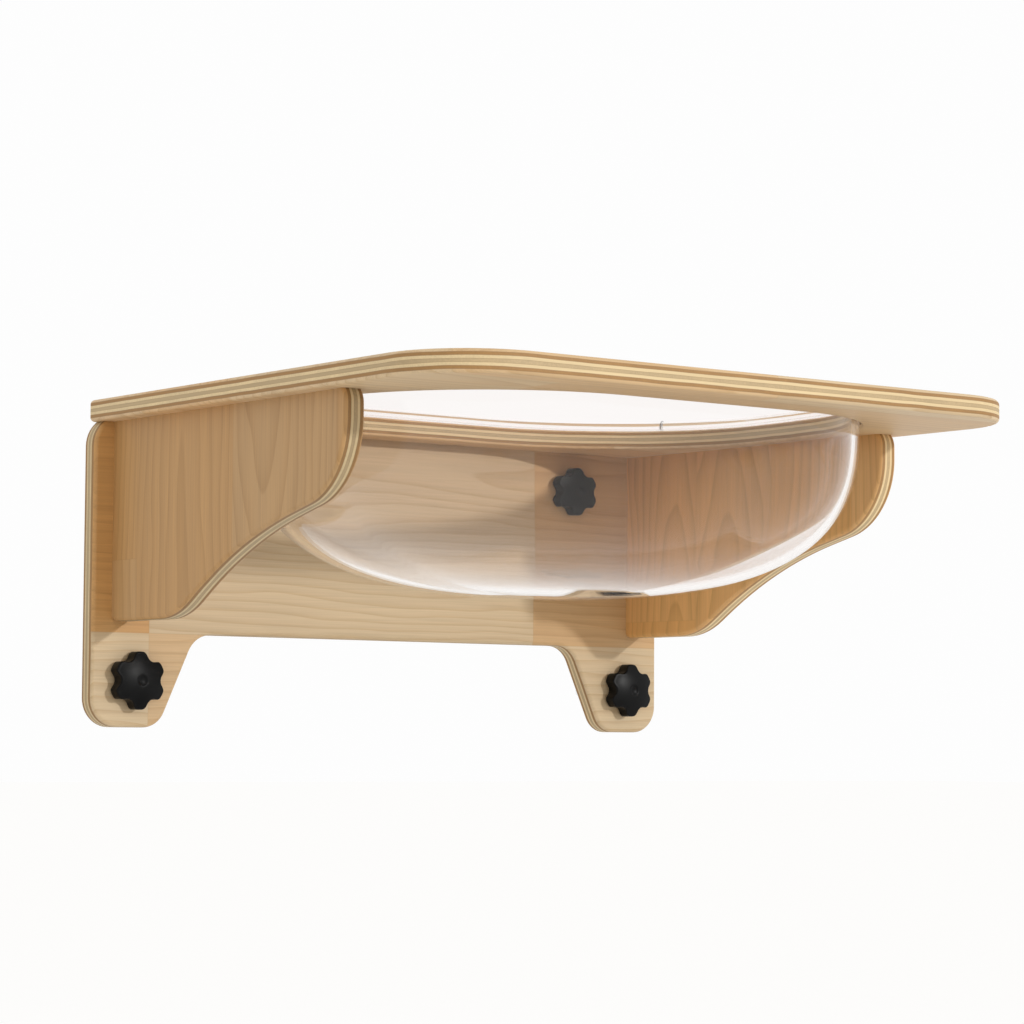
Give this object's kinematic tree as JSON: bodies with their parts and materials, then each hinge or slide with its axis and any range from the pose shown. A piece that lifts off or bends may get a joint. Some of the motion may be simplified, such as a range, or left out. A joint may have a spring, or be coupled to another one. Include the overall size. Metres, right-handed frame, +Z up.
{
  "type": "window mounted cat perch",
  "caption": "Plywood shelf on two curved brackets and a legged back board, with a clear drop-in bowl for a cat to lie in, held to a window by suction cups behind star knobs.",
  "frame": {"origin": "on the glass, at the centre of the rectangle of suction cup rows, which is the middle of the perch's width", "axes": "+X right along the window as seen from the room, +Y through the glass to the outside, +Z up"},
  "size_m": [0.5, 0.435, 0.2326],
  "materials": {
    "plywood": "clear satin lacquer, plies open at the edges",
    "clear_acrylic": "polished, clear",
    "clear_pvc": "soft, clear, glossy",
    "black_nylon": "moulded, satin",
    "steel": "zinc plated",
    "brass": "turned"
  },
  "bodies": {
    "frame": {"back_board": "plywood", "left_bracket": "plywood", "right_bracket": "plywood", "shelf": "plywood", "bowl_pins": "steel", "bracket_screws": "steel", "shelf_bracket_screws": "steel", "shelf_board_screws": "steel", "cup_upper_left": "clear_pvc", "stud_upper_left": "steel", "cup_upper_right": "clear_pvc", "stud_upper_right": "steel", "cup_lower_left": "clear_pvc", "stud_lower_left": "steel", "cup_lower_right": "clear_pvc", "stud_lower_right": "steel"},
    "bowl": {"bowl": "clear_acrylic"},
    "washer_upper_left": {"washer_upper_left": "steel"},
    "knob_upper_left": {"knob_upper_left": "black_nylon", "insert_upper_left": "brass"},
    "washer_upper_right": {"washer_upper_right": "steel"},
    "knob_upper_right": {"knob_upper_right": "black_nylon", "insert_upper_right": "brass"},
    "washer_lower_left": {"washer_lower_left": "steel"},
    "knob_lower_left": {"knob_lower_left": "black_nylon", "insert_lower_left": "brass"},
    "washer_lower_right": {"washer_lower_right": "steel"},
    "knob_lower_right": {"knob_lower_right": "black_nylon", "insert_lower_right": "brass"}
  },
  "joints": [
    {"name": "bowl_lift", "type": "slide", "parent": "frame", "child": "bowl", "axis": [0, 0, 1], "range_m": [0, 0.15]},
    {"name": "knob_upper_left_travel", "type": "slide", "parent": "frame", "child": "washer_upper_left", "axis": [0, -1, 0], "range_m": [0, 0.0061]},
    {"name": "knob_upper_left_turn", "type": "hinge", "parent": "washer_upper_left", "child": "knob_upper_left", "pos_m": [-0.165, -0.0286, 0.073], "axis": [0, -1, 0], "range_deg": [0, 2160]},
    {"name": "knob_upper_right_travel", "type": "slide", "parent": "frame", "child": "washer_upper_right", "axis": [0, -1, 0], "range_m": [0, 0.0061]},
    {"name": "knob_upper_right_turn", "type": "hinge", "parent": "washer_upper_right", "child": "knob_upper_right", "pos_m": [0.165, -0.0286, 0.073], "axis": [0, -1, 0], "range_deg": [0, 2160]},
    {"name": "knob_lower_left_travel", "type": "slide", "parent": "frame", "child": "washer_lower_left", "axis": [0, -1, 0], "range_m": [0, 0.0061]},
    {"name": "knob_lower_left_turn", "type": "hinge", "parent": "washer_lower_left", "child": "knob_lower_left", "pos_m": [-0.2175, -0.0286, -0.073], "axis": [0, -1, 0], "range_deg": [0, 2160]},
    {"name": "knob_lower_right_travel", "type": "slide", "parent": "frame", "child": "washer_lower_right", "axis": [0, -1, 0], "range_m": [0, 0.0061]},
    {"name": "knob_lower_right_turn", "type": "hinge", "parent": "washer_lower_right", "child": "knob_lower_right", "pos_m": [0.2175, -0.0286, -0.073], "axis": [0, -1, 0], "range_deg": [0, 2160]}
  ],
  "couplings": [
    {"joint": "knob_upper_left_travel", "follows": "knob_upper_left_turn", "m_per_rad": 0.00015915},
    {"joint": "knob_upper_right_travel", "follows": "knob_upper_right_turn", "m_per_rad": 0.00015915},
    {"joint": "knob_lower_left_travel", "follows": "knob_lower_left_turn", "m_per_rad": 0.00015915},
    {"joint": "knob_lower_right_travel", "follows": "knob_lower_right_turn", "m_per_rad": 0.00015915}
  ]
}
